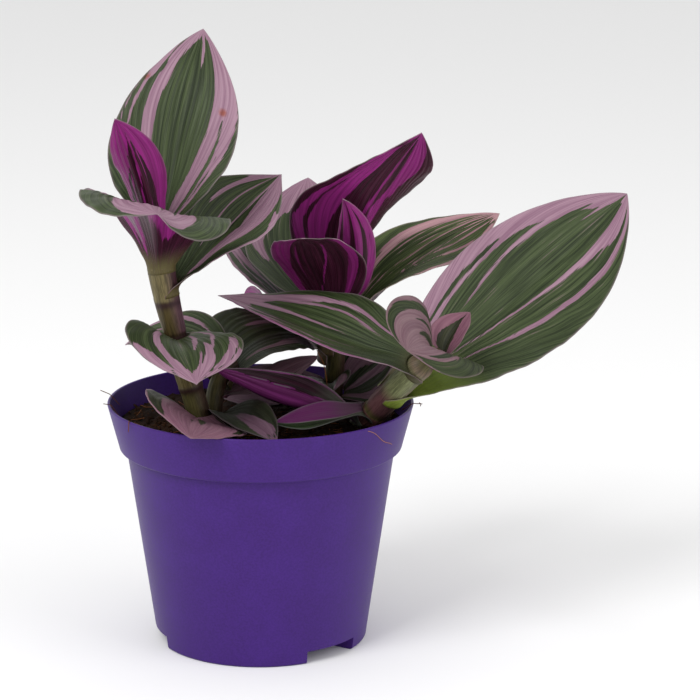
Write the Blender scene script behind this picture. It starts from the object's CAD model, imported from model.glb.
"""Potted tradescantia: striped, clasping leaves on four short stems in a notched nursery pot.

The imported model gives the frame. Every piece here stands for one of its nodes, in the same place
and form, with a finer surface, or adds what grows or lies on it. Sizes are millimetres unless a
name says otherwise, meshes are written in metres, and colours are six-digit display codes.
"""

from __future__ import annotations

import logging
import math
from dataclasses import dataclass
from enum import Enum
from typing import NamedTuple, Sequence

import bmesh
import bpy
import numpy as np
from mathutils import Matrix, Vector

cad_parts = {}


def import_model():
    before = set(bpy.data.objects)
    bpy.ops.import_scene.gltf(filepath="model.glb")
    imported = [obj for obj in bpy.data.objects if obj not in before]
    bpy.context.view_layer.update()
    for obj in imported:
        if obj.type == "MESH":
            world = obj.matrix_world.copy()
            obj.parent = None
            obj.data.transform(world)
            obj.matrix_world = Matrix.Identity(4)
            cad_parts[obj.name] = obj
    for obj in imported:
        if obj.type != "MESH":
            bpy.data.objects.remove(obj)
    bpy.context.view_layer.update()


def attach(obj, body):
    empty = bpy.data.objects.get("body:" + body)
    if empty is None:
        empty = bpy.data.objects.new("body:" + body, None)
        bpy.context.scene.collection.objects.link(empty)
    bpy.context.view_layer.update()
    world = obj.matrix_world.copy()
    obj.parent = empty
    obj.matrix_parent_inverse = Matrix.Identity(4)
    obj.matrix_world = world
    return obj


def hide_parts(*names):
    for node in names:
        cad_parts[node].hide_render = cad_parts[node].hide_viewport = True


LOG = logging.getLogger("tradescantia")

MM = 0.001  # metres
TURN = 2 * math.pi
BODY = "root"
WELD = 1e-3  # points this near are one
ASKEW = (0.31, 0.2, 0.93)  # a direction that no strand follows
EASE = 0.35  # how far a bent strand is eased at its points
Point = tuple[float, float, float]
Socket = bpy.types.NodeSocket
Material = bpy.types.Material
Piece = bpy.types.Object
Mesh = bmesh.types.BMesh


def srgb(code: str) -> Point:
    """Linear colour of a display code.

    Args:
        code: two hexadecimal digits each for red, green and blue.

    Returns:
        The three channels as light, each from 0 to 1.
    """
    parts = [int(code[i : i + 2], 16) / 255 for i in (0, 2, 4)]
    red, green, blue = (p / 12.92 if p <= 0.04045 else ((p + 0.055) / 1.055) ** 2.4 for p in parts)
    return red, green, blue


def smooth(x: np.ndarray | float) -> np.ndarray:
    """Smooth step from 0 to 1 as x goes from 0 to 1."""
    x = np.clip(x, 0.0, 1.0)
    return x * x * (3 - 2 * x)


def unit(v: np.ndarray) -> np.ndarray:
    """Vectors along the last axis, at length 1."""
    return v / np.maximum(np.linalg.norm(v, axis=-1, keepdims=True), 1e-9)


def turn(v: np.ndarray, axis: np.ndarray, angle: float) -> np.ndarray:
    """A vector turned about a unit axis by an angle in radians."""
    c, s = math.cos(angle), math.sin(angle)
    return v * c + np.cross(axis, v) * s + axis * (axis @ v) * (1 - c)


def between(pair: tuple[float, float], share: np.ndarray | float) -> np.ndarray | float:
    """The value a share of the way from the first of a pair to the second."""
    return pair[0] + (pair[1] - pair[0]) * share


class Waves:
    """A gentle, repeatable unevenness: a sum of sine waves with seeded directions."""

    def __init__(self, seed: int, length: float, count: int = 5) -> None:
        """Draws the waves.

        Args:
            seed: the draw's seed.
            length: the mean wave length, in the units that it is read in.
            count: how many waves are added up.
        """
        draw = np.random.default_rng(seed)
        self.ways = unit(draw.normal(size=(count, 3))) * TURN / length
        self.ways *= draw.uniform(0.6, 1.6, (count, 1))
        self.starts = draw.uniform(0, TURN, count)

    def at(self, places: np.ndarray) -> np.ndarray:
        """Heights between about -1 and 1 at places whose last axis holds three coordinates."""
        return np.sin(places @ self.ways.T + self.starts).mean(axis=-1) * 1.6


# ---------------------------------------------------------------------------------------------
# Finishes
# ---------------------------------------------------------------------------------------------


class Wiring:
    """A short way to place and join the nodes of one tree."""

    def __init__(self, tree: bpy.types.NodeTree) -> None:
        """Clears the tree that the nodes go into, a material's or a group's."""
        self.tree = tree
        tree.nodes.clear()

    def add(self, kind: str, inputs: dict | None = None, **settings: object) -> bpy.types.Node:
        """Places a node.

        Args:
            kind: the node's type.
            inputs: for each socket, by name or number, a value, a colour's code or the socket
                that feeds it.
            settings: the node's own settings.

        Returns:
            The node.
        """
        node = self.tree.nodes.new(kind)
        for name, value in settings.items():
            setattr(node, name, value)
        for name, value in (inputs or {}).items():
            if isinstance(value, Socket):
                self.tree.links.new(value, node.inputs[name])
            else:
                node.inputs[name].default_value = (*srgb(value), 1.0) if isinstance(value, str) else value
        return node

    def maths(self, operation: str, a: object, b: object) -> Socket:
        """The result of one sum on two values or sockets."""
        return self.add("ShaderNodeMath", {0: a, 1: b}, operation=operation).outputs[0]

    def span(self, value: object, low: float, high: float, out: Sequence[float] = (0.0, 1.0)) -> Socket:
        """A value taken smoothly from one span to another."""
        inputs = {"Value": value, "From Min": low, "From Max": high, "To Min": out[0], "To Max": out[1]}
        return self.add("ShaderNodeMapRange", inputs, interpolation_type="SMOOTHSTEP").outputs[0]

    def blend(self, share: object, a: object, b: object, mode: str = "MIX") -> Socket:
        """Two colours mixed by a share."""
        inputs = {0: share, 6: a, 7: b}
        return self.add("ShaderNodeMix", inputs, data_type="RGBA", blend_type=mode).outputs[2]

    def shaded(self, colour: Socket, tone: Socket) -> Socket:
        """A colour made darker or lighter by a value."""
        grey = self.add("ShaderNodeCombineColor", {0: tone, 1: tone, 2: tone}).outputs[0]
        return self.blend(1.0, colour, grey, "MULTIPLY")

    def noise(self, vector: Socket, scale: object, detail: float, roughness: float = 0.5) -> Socket:
        """A cloud noise between 0 and 1."""
        inputs = {"Vector": vector, "Scale": scale, "Detail": detail, "Roughness": roughness}
        return self.add("ShaderNodeTexNoise", inputs).outputs[0]

    def named(self, name: str, output: str = "Fac") -> Socket:
        """What the piece's own mesh carries under a name: a Fac, a Vector or a Color."""
        node = self.add("ShaderNodeAttribute", attribute_name=name, attribute_type="GEOMETRY")
        return node.outputs[output]


class Effects:
    """The effects that more than one finish uses, each built once as a group."""

    def __init__(self) -> None:
        """Builds the groups."""
        self._streaks = self._make_streaks()
        self._grain = self._make_grain()

    def streaks(self, w: Wiring, pitch: float, reach: float) -> bpy.types.bpy_prop_collection:
        """Places the streaks in a material that reads lanes.

        Args:
            w: the material's wiring.
            pitch: from one streak to the next.
            reach: how long a streak runs.

        Returns:
            The outputs Streak, Fine and Vein.
        """
        inputs = {"Lane": w.named("lane", "Vector"), "Pitch": pitch, "Reach": reach}
        return w.add("ShaderNodeGroup", inputs, node_tree=self._streaks).outputs

    def grain(self, w: Wiring, size: float) -> bpy.types.bpy_prop_collection:
        """Places the grain in a material, and gives its outputs Grain and Cloud."""
        place = w.add("ShaderNodeTexCoord").outputs["Object"]
        return w.add("ShaderNodeGroup", {"Vector": place, "Size": size}, node_tree=self._grain).outputs

    @staticmethod
    def _group(name: str, vector: str, values: Sequence[str], outputs: Sequence[str]) -> tuple:
        """An empty group with its sockets.

        Args:
            name: the group's name.
            vector: the name of its first input, a vector.
            values: the names of its other inputs, all of them values.
            outputs: the names of its outputs, all of them values.

        Returns:
            Its wiring, and its input and output nodes.
        """
        tree = bpy.data.node_groups.new(name, "ShaderNodeTree")
        tree.interface.new_socket(name=vector, in_out="INPUT", socket_type="NodeSocketVector")
        for way, labels in (("INPUT", values), ("OUTPUT", outputs)):
            for label in labels:
                tree.interface.new_socket(name=label, in_out=way, socket_type="NodeSocketFloat")
        wiring = Wiring(tree)
        return wiring, wiring.add("NodeGroupInput").outputs, wiring.add("NodeGroupOutput").inputs

    def _make_streaks(self) -> bpy.types.NodeTree:
        """Streaks that run along a blade or a stem, in lanes across it."""
        w, given, out = self._group("long streaks", "Lane", ("Pitch", "Reach"), ("Streak", "Fine", "Vein"))
        lane = w.add("ShaderNodeSeparateXYZ", {0: given["Lane"]})
        across = w.maths("DIVIDE", lane.outputs[0], given["Pitch"])
        along = w.maths("DIVIDE", lane.outputs[1], given["Reach"])
        spot = w.add("ShaderNodeCombineXYZ", {0: across, 1: along, 2: lane.outputs[2]}).outputs[0]
        ribs = w.maths("PINGPONG", w.maths("MULTIPLY", across, 1.35), 0.5)
        w.tree.links.new(w.noise(spot, 1.0, 2.0, 0.55), out["Streak"])
        w.tree.links.new(w.noise(spot, 3.7, 2.0, 0.6), out["Fine"])
        w.tree.links.new(w.span(ribs, 0.0, 0.16, (1.0, 0.0)), out["Vein"])
        return w.tree

    def _make_grain(self) -> bpy.types.NodeTree:
        """Fine grain of a surface, in three dimensions, and slow clouds in it."""
        w, given, out = self._group("fine grain", "Vector", ("Size",), ("Grain", "Cloud"))
        scale = w.maths("DIVIDE", 1 / MM, given["Size"])
        w.tree.links.new(w.noise(given["Vector"], scale, 3.0), out["Grain"])
        w.tree.links.new(w.noise(given["Vector"], w.maths("MULTIPLY", scale, 0.06), 3.0), out["Cloud"])
        return w.tree


class Layers(NamedTuple):
    """What a finish feeds to its shader."""

    colour: Socket
    roughness: Socket | float
    height: Socket
    strength: float  # of the relief
    depth: float  # of the relief


@dataclass(frozen=True, kw_only=True)
class Finish:
    """What every finish has, and how its material is put together."""

    name: str
    roughness: float
    specular: float = 0.2

    def layers(self, w: Wiring, effects: Effects) -> Layers:
        """Wires the finish's own pattern."""
        raise NotImplementedError

    def make(self, effects: Effects) -> Material:
        """Builds the material.

        Args:
            effects: the shared groups.

        Returns:
            The material.
        """
        material = bpy.data.materials.new(self.name)
        material.use_nodes = True
        w = Wiring(material.node_tree)
        look = self.layers(w, effects)
        relief = {"Height": look.height, "Strength": look.strength, "Distance": look.depth * MM}
        normal = w.add("ShaderNodeBump", relief).outputs[0]
        inputs = {"Base Color": look.colour, "Roughness": look.roughness, "Normal": normal}
        shader = w.add("ShaderNodeBsdfPrincipled", {**inputs, "Specular IOR Level": self.specular})
        w.add("ShaderNodeOutputMaterial", {"Surface": shader.outputs[0]})
        return material


@dataclass(frozen=True, kw_only=True)
class PlainFinish(Finish):
    """A finish with one main colour, a cloudy second one, and a fine relief."""

    base: str
    cloud: str
    mix: float  # how much of the second colour shows
    grain: float  # size of the grain
    relief: float

    def layers(self, w: Wiring, effects: Effects) -> Layers:
        """Wires clouds and grain."""
        grain = effects.grain(w, self.grain)
        colour = w.blend(w.span(grain["Cloud"], 0.35, 0.7, (0.0, self.mix)), self.base, self.cloud)
        colour = w.shaded(colour, w.span(grain["Grain"], 0.3, 0.7, (0.88, 1.1)))
        spread = (self.roughness * 0.9, min(1.0, self.roughness * 1.12))
        return Layers(colour, w.span(grain["Grain"], 0.2, 0.8, spread), grain["Grain"], 1.0, self.relief)


@dataclass(frozen=True, kw_only=True)
class BladeFinish(Finish):
    """One side of the leaves: two pigments that meet in streaks along the blade."""

    dark: str  # where the leaf is green
    light: str
    pale: str  # where it has no green
    deep: str
    flushed: str  # where the other side's colour shows through
    rim: str
    vein: str
    vein_share: float

    def layers(self, w: Wiring, effects: Effects) -> Layers:
        """Wires the pigments over the attributes that each blade carries."""
        streaks = effects.streaks(w, 1.25, 42.0)
        pink = w.named("pink")
        broad = w.maths("MULTIPLY", w.maths("SUBTRACT", streaks["Streak"], 0.5), 1.25)
        fine = w.maths("MULTIPLY", w.maths("SUBTRACT", streaks["Fine"], 0.5), 0.85)
        edge = w.maths("ADD", pink, w.maths("ADD", broad, fine))
        tone = w.span(w.maths("ADD", w.maths("MULTIPLY", fine, 0.7), broad), -0.26, 0.3)
        green = w.blend(tone, self.dark, self.light)
        flush = w.blend(w.span(streaks["Streak"], 0.3, 0.7), self.pale, self.deep)
        flush = w.blend(w.span(w.maths("ADD", pink, fine), 1.3, 1.7), flush, self.flushed)
        colour = w.blend(w.span(edge, 0.42, 0.62), green, flush)
        colour = w.blend(w.maths("MULTIPLY", streaks["Vein"], self.vein_share), colour, self.vein)
        husk = w.blend(w.span(edge, 0.0, 0.5, (0.0, 0.55)), w.named("husk", "Color"), colour)
        colour = w.blend(w.maths("MULTIPLY", w.named("sheath"), 0.95), colour, husk)
        colour = w.blend(w.named("rim"), colour, self.rim)
        colour = w.blend(1.0, colour, w.named("tint", "Color"), "MULTIPLY")
        grain = effects.grain(w, 0.45)["Grain"]
        height = w.maths("ADD", w.maths("MULTIPLY", streaks["Vein"], -0.6), grain)
        rough = w.span(grain, 0.25, 0.75, (self.roughness - 0.06, self.roughness + 0.06))
        return Layers(colour, rough, height, 0.8, 0.05)


@dataclass(frozen=True, kw_only=True)
class StemFinish(Finish):
    """The stems' skin: the colours that each stem carries, in streaks, with dark nodes."""

    node: str

    def layers(self, w: Wiring, effects: Effects) -> Layers:
        """Wires the streaks over the attributes that each stem carries."""
        streaks = effects.streaks(w, 1.1, 14.0)
        tone = w.span(w.maths("ADD", streaks["Streak"], streaks["Fine"]), 0.75, 1.25, (0.6, 1.35))
        colour = w.shaded(w.named("skin", "Color"), tone)
        colour = w.blend(w.maths("MULTIPLY", w.named("node"), 0.85), colour, self.node)
        height = w.maths("ADD", streaks["Streak"], w.maths("MULTIPLY", streaks["Fine"], 0.6))
        return Layers(colour, self.roughness, height, 0.8, 0.12)


LEAF_TOP = BladeFinish(
    name="leaf top", roughness=0.48, dark="1a240d", light="414d2e", pale="977787", deep="7d5a6e",
    flushed="7a2a68", rim="958389", vein="747f66", vein_share=0.12,
)
LEAF_UNDER = BladeFinish(
    name="leaf underside", roughness=0.44, dark="220812", light="42152c", pale="95287f", deep="701c5c",
    flushed="7c6573", rim="8a6478", vein="7a3a66", vein_share=0.2,
)
STEM_SKIN = StemFinish(name="stem skin", roughness=0.5, specular=0.25, node="2a1118")
POT_PLASTIC = PlainFinish(
    name="purple plastic", roughness=0.42, base="3a1b68", cloud="3e1e71", mix=0.5, grain=0.8, relief=0.008,
)
SOIL_MIX = PlainFinish(
    name="potting mix", roughness=0.95, specular=0.08, base="140c07", cloud="281910", mix=0.9, grain=1.6,
    relief=0.5,
)
CRUMB = PlainFinish(
    name="crumbs of mix", roughness=0.95, specular=0.08, base="1a0f08", cloud="3a2415", mix=0.8, grain=1.0,
    relief=0.3,
)
COIR = PlainFinish(
    name="coir fibre", roughness=0.8, base="4f2c14", cloud="7d4a24", mix=0.9, grain=3.0, relief=0.02,
)
HAIR = PlainFinish(
    name="hair", roughness=0.6, base="a06a48", cloud="b98a70", mix=0.5, grain=3.0, relief=0.01,
)


# ---------------------------------------------------------------------------------------------
# Meshes
# ---------------------------------------------------------------------------------------------


def to_object(name: str, mesh: Mesh, finishes: Sequence[Material]) -> Piece:
    """A finished bmesh, drawn in millimetres, as an object in the scene.

    Args:
        name: the piece's name.
        mesh: the mesh, which is freed.
        finishes: its materials, in the order of its faces' numbers.

    Returns:
        The object, at the origin.
    """
    bmesh.ops.scale(mesh, vec=(MM, MM, MM), verts=mesh.verts)
    for face in mesh.faces:
        face.smooth = True
    data = bpy.data.meshes.new(name)
    mesh.to_mesh(data)
    mesh.free()
    for finish in finishes:
        data.materials.append(finish)
    piece = bpy.data.objects.new(name, data)
    bpy.context.scene.collection.objects.link(piece)
    return piece


def settle(piece: Piece, slot: str, *nodes: str) -> None:
    """Puts a piece on the object's body, in place of the nodes that it stands for.

    Args:
        piece: the piece.
        slot: the record's material slot.
        nodes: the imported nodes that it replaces, if any.
    """
    if nodes:
        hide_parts(*nodes)
    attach(piece, BODY)
    LOG.info("%s: %d faces", piece.name, len(piece.data.polygons))


def sheet(places: np.ndarray) -> tuple[Mesh, list[int]]:
    """A grid of quads laid over rows of points.

    Args:
        places: an array of rows, columns and three coordinates.

    Returns:
        The mesh, and the numbers of its vertices in reading order, which hold until points are
        welded.
    """
    rows, columns = places.shape[:2]
    mesh = bmesh.new()
    bmesh.ops.create_grid(mesh, x_segments=columns - 1, y_segments=rows - 1, size=1.0)
    mesh.verts.index_update()
    order: list = [None] * (rows * columns)
    for vert in mesh.verts:
        j = round((vert.co.x + 1) / 2 * (columns - 1))
        i = round((vert.co.y + 1) / 2 * (rows - 1))
        order[i * columns + j] = vert
    for vert, place in zip(order, places.reshape(-1, 3)):
        vert.co = place
    return mesh, [vert.index for vert in order]


def close_up(mesh: Mesh) -> None:
    """Welds what lies together and turns the faces outwards."""
    bmesh.ops.remove_doubles(mesh, verts=mesh.verts, dist=WELD)
    bmesh.ops.recalc_face_normals(mesh, faces=mesh.faces)


def ring_points(radius: np.ndarray, angle: np.ndarray, height: np.ndarray) -> np.ndarray:
    """Points at distances from the pot's axis, angles round it, and heights."""
    return np.stack([radius * np.cos(angle), radius * np.sin(angle), height], axis=-1)


def add_strand(mesh: Mesh, spots: np.ndarray, radius: float, sides: int) -> None:
    """Adds a thin tube along a line of points, drawn out to a point at both ends.

    Args:
        mesh: the mesh that it goes into.
        spots: the points, in order.
        radius: its greatest radius.
        sides: how many sides it has.
    """
    way = unit(np.gradient(spots, axis=0))
    across = unit(np.cross(way, ASKEW))
    other = np.cross(way, across)
    rings = []
    for i in range(1, len(spots) - 1):
        ring = []
        for k in range(sides):
            angle = TURN * k / sides
            edge = math.cos(angle) * across[i] + math.sin(angle) * other[i]
            ring.append(mesh.verts.new(spots[i] + edge * radius))
        rings.append(ring)
    first, last = mesh.verts.new(spots[0]), mesh.verts.new(spots[-1])
    for k in range(sides):
        n = (k + 1) % sides
        mesh.faces.new((first, rings[0][n], rings[0][k]))
        mesh.faces.new((last, rings[-1][k], rings[-1][n]))
        for a, b in zip(rings, rings[1:]):
            mesh.faces.new((a[k], a[n], b[n], b[k]))


def bent(spots: Sequence[Point], steps: int) -> np.ndarray:
    """A line of so many points, eased where it passes each of a few points."""
    places = np.array(spots, float)
    at = np.linspace(0, len(places) - 1, steps)
    whole = np.clip(np.floor(at).astype(int), 0, len(places) - 2)
    part = smooth(at - whole)[:, None] * EASE + (at - whole)[:, None] * (1 - EASE)
    return places[whole] * (1 - part) + places[whole + 1] * part


# ---------------------------------------------------------------------------------------------
# Stems
# ---------------------------------------------------------------------------------------------


@dataclass(frozen=True)
class Sleeve:
    """A closed sheath round a stem, from a leaf's node up to where its blade springs."""

    low: float  # share of the stem's length
    high: float
    radius: tuple[float, float]  # at the node and where the blade springs
    skin: tuple[str, str]  # on the left and the right
    lip: float = 0.012  # share of the stem's length over which its edges round in
    line: float = 1.0  # how dark the line along its lower edge is

    def worn(self, share: np.ndarray | float) -> np.ndarray:
        """How fully the sleeve covers each share, from 0 to 1."""
        return smooth((share - self.low) / self.lip) * smooth((self.high - share) / self.lip)


@dataclass(frozen=True)
class Stem:
    """A fleshy stem along a cubic curve from the soil upwards, with a swollen ring at each node."""

    name: str
    path: tuple[Point, Point, Point, Point]
    radius: tuple[float, float]  # at the soil and at the top
    rings: tuple[float, ...] = ()  # shares of the length
    sleeves: tuple[Sleeve, ...] = ()
    skin: tuple[str, str] = ("4a4526", "3c2a20")  # on the left and the right
    root_depth: float = 14.0
    swell: float = 0.5  # height of a ring
    ring: float = 0.022  # its width, as a share of the length
    dome: float = 0.02  # share of the length over which the top rounds in
    ribs: tuple[Point, ...] = ((0.05, 11, 0), (0.06, 7, 1))  # height, how many, where they start
    sides: int = 48
    rows: int = 200

    def _spot(self, share: np.ndarray) -> np.ndarray:
        """Points of the curve itself at shares from 0 to 1."""
        a, b, c, d = (np.array(p, float) for p in self.path)
        t = np.clip(share, 0, 1)[..., None]
        return a * (1 - t) ** 3 + 3 * b * t * (1 - t) ** 2 + 3 * c * t * t * (1 - t) + d * t**3

    def point(self, share: np.ndarray | float) -> np.ndarray:
        """Points of the centre line at shares of its length; below 0 it runs straight on."""
        share = np.asarray(share, float)
        below = np.minimum(share, 0.0)[..., None] * self.length
        return self._spot(share) + self.way(np.zeros_like(share)) * below

    def way(self, share: np.ndarray | float) -> np.ndarray:
        """Unit directions of the centre line at shares of its length."""
        a, b, c, d = (np.array(p, float) for p in self.path)
        t = np.clip(np.asarray(share, float), 0, 1)[..., None]
        return unit((b - a) * (1 - t) ** 2 + 2 * (c - b) * t * (1 - t) + (d - c) * t * t)

    @property
    def length(self) -> float:
        """Length of the centre line above the soil."""
        line = self._spot(np.linspace(0, 1, 60))
        return float(np.linalg.norm(np.diff(line, axis=0), axis=1).sum())

    def radius_at(self, share: np.ndarray | float) -> np.ndarray:
        """Radius without the rings."""
        up = np.clip(share, 0, 1)
        return self.radius[0] + (self.radius[1] - self.radius[0]) * up * up

    def _girth(self, share: np.ndarray) -> np.ndarray:
        """Radius with rings and sleeves.

        Args:
            share: shares of the length.

        Returns:
            One radius for each share.
        """
        girth = self.radius_at(share)
        for ring in self.rings:
            girth = girth + self.swell * np.exp(-(((share - ring) / self.ring) ** 2))
        for sleeve in self.sleeves:
            along = np.clip((share - sleeve.low) / (sleeve.high - sleeve.low), 0, 1)
            girth = np.maximum(girth, girth + (between(sleeve.radius, along) - girth) * sleeve.worn(share))
        return girth

    @staticmethod
    def _mixed(skin: tuple[str, str], right: np.ndarray) -> np.ndarray:
        """Two colours mixed across a stem, from the left, 0, to the right, 1."""
        return np.array(srgb(skin[0])) * (1 - right) + np.array(srgb(skin[1])) * right

    def _colours(self, share: np.ndarray, right: np.ndarray) -> np.ndarray:
        """Colours all over the stem.

        Args:
            share: each row's share of the length.
            right: how far to the right each column lies, from 0 to 1.

        Returns:
            Rows of linear colours.
        """
        colour = self._mixed(self.skin, right[None, :, None])
        for sleeve in self.sleeves:
            own = self._mixed(sleeve.skin, right[None, :, None])
            colour = colour + (own - colour) * sleeve.worn(share)[:, None, None]
        return np.broadcast_to(colour, (len(share), len(right), 3))

    def _dark(self, share: np.ndarray) -> np.ndarray:
        """How dark the lines just below the rings and sleeves make the stem.

        Args:
            share: shares of its length.

        Returns:
            A value from 0 to 1 for each share.
        """
        dark = np.zeros_like(share)
        for place, depth in [(ring, 1.0) for ring in self.rings] + [(s.low, s.line) for s in self.sleeves]:
            edge = (share - place + 0.4 * self.ring) / (0.8 * self.ring)
            dark = np.maximum(dark, depth * np.exp(-(edge**2)))
        return dark

    def build(self, finish: Material) -> Piece:
        """Makes the stem as a ribbed tube round its centre line, closed at both ends.

        Args:
            finish: its material, which reads where the rings and sleeves are.

        Returns:
            The piece.
        """
        share = np.linspace(-self.root_depth / self.length, 1.0, self.rows)
        angle = np.linspace(0, TURN, self.sides + 1)
        centre, way = self.point(share), self.way(share)
        across = unit(np.cross(way, [1.0, 0.0, 0.0]))
        other = np.cross(across, way)
        ribs = sum(height * np.sin(count * angle + start) for height, count, start in self.ribs)
        end = np.sqrt(np.clip((1.0 - share) / self.dome, 0, 1))
        radius = (self._girth(share)[:, None] + ribs[None, :]) * end[:, None]
        radius[0] = 0
        edge = np.cos(angle)[None, :, None] * across[:, None] + np.sin(angle)[None, :, None] * other[:, None]
        mesh, numbers = sheet(centre[:, None] + radius[..., None] * edge)
        lane_layer = mesh.verts.layers.float_vector.new("lane")
        skin_layer = mesh.verts.layers.float_color.new("skin")
        node_layer = mesh.verts.layers.float.new("node")
        mesh.verts.ensure_lookup_table()
        dark = self._dark(share)
        colours = self._colours(share, smooth(0.5 + 0.9 * np.sin(angle + 0.5)))
        lanes = self.radius[0] * np.stack([np.cos(angle), np.sin(angle)], axis=-1)
        for number, (row, column) in zip(numbers, np.ndindex(colours.shape[:2])):
            vert = mesh.verts[number]
            vert[lane_layer] = (lanes[column, 0], share[row] * self.length, lanes[column, 1])
            vert[node_layer] = dark[row]
            vert[skin_layer] = (*colours[row, column], 1.0)
        close_up(mesh)
        return to_object(f"stem_{self.name}", mesh, [finish])


# ---------------------------------------------------------------------------------------------
# Leaves
# ---------------------------------------------------------------------------------------------


GREEN = 0.08  # values of a stripe: 0 is all green, 1 has no green
FLUSHED = 2.0  # the other side's colour shows through
STRIPE_END = 0.05  # share of a blade over which a stripe ends
HAIRLINE = 0.012  # half width below which a stripe fades out, as a share of the blade's
TIP_END = 0.03  # share of a blade over which its green ends at the tip
FRINGE = 0.05  # how unevenly stripes and tips end, as a share of the blade
FRINGE_WAVE = 0.22  # from one tongue of the fringe to the next, in lanes
RUST = np.array([0.85, 0.4, 0.22])  # what a rust speck leaves of each colour channel


class Side(Enum):
    """The two faces of a blade, by the number of their material."""

    TOP = 0
    UNDER = 1


@dataclass(frozen=True)
class Stripe:
    """A lengthwise patch of one pigment, laid over those before it.

    Its course gives, from the base towards the tip, the share of the blade's length, the place of
    its middle across the blade, from -1 at the right margin to 1 at the left one, and half its width.
    """

    course: tuple[Point, ...]
    value: float = 1.0
    soft: float = 0.06  # how gradually its sides end

    def cover(self, along: np.ndarray, across: np.ndarray) -> np.ndarray:
        """How fully the stripe covers each place of a blade.

        Args:
            along: shares of the blade's length.
            across: places across it, from -1 at the right margin to 1 at the left one.

        Returns:
            Shares from 0 to 1.
        """
        shares, middles, halves = np.array(self.course).T
        middle = np.interp(along, shares, middles)
        half = np.interp(along, shares, halves)
        cover = smooth((half - np.abs(across - middle)) / self.soft + 0.5) * smooth(half / HAIRLINE)
        cover = cover * smooth((along - shares[0]) / STRIPE_END + 1)
        return cover * smooth((shares[-1] - along) / STRIPE_END + 1)


@dataclass(frozen=True)
class Paint:
    """How one leaf is coloured, beyond what its finish gives every leaf."""

    ground: float = 0.1  # its value where no stripe lies
    tip: float = 0.96  # share of the length past which it has no green
    fan: float = 1.0  # how strongly the veins draw in towards the base
    drift: float = 0.0  # how far the middle vein lies off the midrib at the base
    tint: Point = (1.0, 1.0, 1.0)  # what it leaves of each colour channel
    husk: str = "5a5230"  # colour of the sheath
    sheath_reach: float = 0.1  # how far up the blade the sheath's colour runs
    rust: tuple[Point, ...] = ()  # specks: share of the length, place across, radius in mm
    stripes: tuple[Stripe, ...] = ()


@dataclass(frozen=True)
class Leaf:
    """A clasping leaf: a folded, arched blade whose base wraps its stem.

    Angles are degrees. Heading turns from +X, rise is above level where the leaf starts, and arch,
    sweep, roll and twist say how far the midrib bends over, bends aside, leans over and turns.
    """

    name: str
    stem: str
    up: float  # share of the stem's length at which it springs
    heading: float
    rise: float
    length: float
    width: float
    widest: float  # share of the length
    taper: float  # above 1 the tip is slimmer
    arch: float
    late: float  # above 1 the bend comes nearer the tip
    sweep: float
    roll: float
    twist: float
    fold: tuple[float, float]  # how far the halves stand up, at the base and at the tip
    curl: tuple[float, float]  # how much further they curl towards the margins
    nest: float  # extra room between sheath and stem
    wrap: float  # how far either way the base clasps
    sheath: float  # length of the closed part below
    young: bool = False
    paint: Paint = Paint()

    def outline(self, t: float) -> float:
        """Half width as a share of the greatest, from the base at 0 to the tip at 1."""
        if t < self.widest:
            return BLADE.base + (1 - BLADE.base) * math.sin(math.pi / 2 * t / self.widest)
        past = (t - self.widest) / (1 - self.widest)
        return (1 - past * past) ** self.taper

    def half_widths(self, shares: np.ndarray) -> np.ndarray:
        """Half width of each row, as a column; the sheath's rows count at the greatest."""
        return np.array([self.outline(t) if t > 0 else 1.0 for t in shares])[:, None] * self.width / 2


@dataclass(frozen=True)
class BladeForm:
    """Sizes that all the blades share."""

    base: float = 0.34  # width at the base, as a share of the greatest
    clear: float = 0.9  # from a stem's surface to the middle of a blade round it
    opening: float = 0.2  # share of the length over which a clasping base opens out
    release: float = 0.55  # share of its wrap that the base has let go by then
    climb: float = 0.5  # how far the clasp climbs the stem, for each length of blade
    point: float = 0.02  # half width at the very tip
    cell: tuple[float, float] = (0.6, 1.0)  # size of a quad, across and along
    thickness: float = 0.62
    thin: float = 0.45  # share of the thickness left at the margin
    keel: float = 2.4  # from the midrib to where a half takes its full slope
    groove: float = 0.35  # depth of the midrib
    pleat: float = 0.1  # depth of the furrows over the main veins
    pleat_pitch: float = 3.6
    rib: float = 0.9  # half width of the midrib's groove
    rim: float = 0.75  # width of the pale line along the margin
    margin: float = 3.0  # from the margin to where it has its full thickness
    unevenness: float = 0.55
    uneven_wave: float = 26.0
    ripple: float = 0.3  # height of the waves along the margin
    ripple_wave: float = 9.0
    tip_weld: float = 0.1
    seed_lane: float = 7.3  # from one leaf's streaks to the next's


BLADE = BladeForm()


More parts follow.
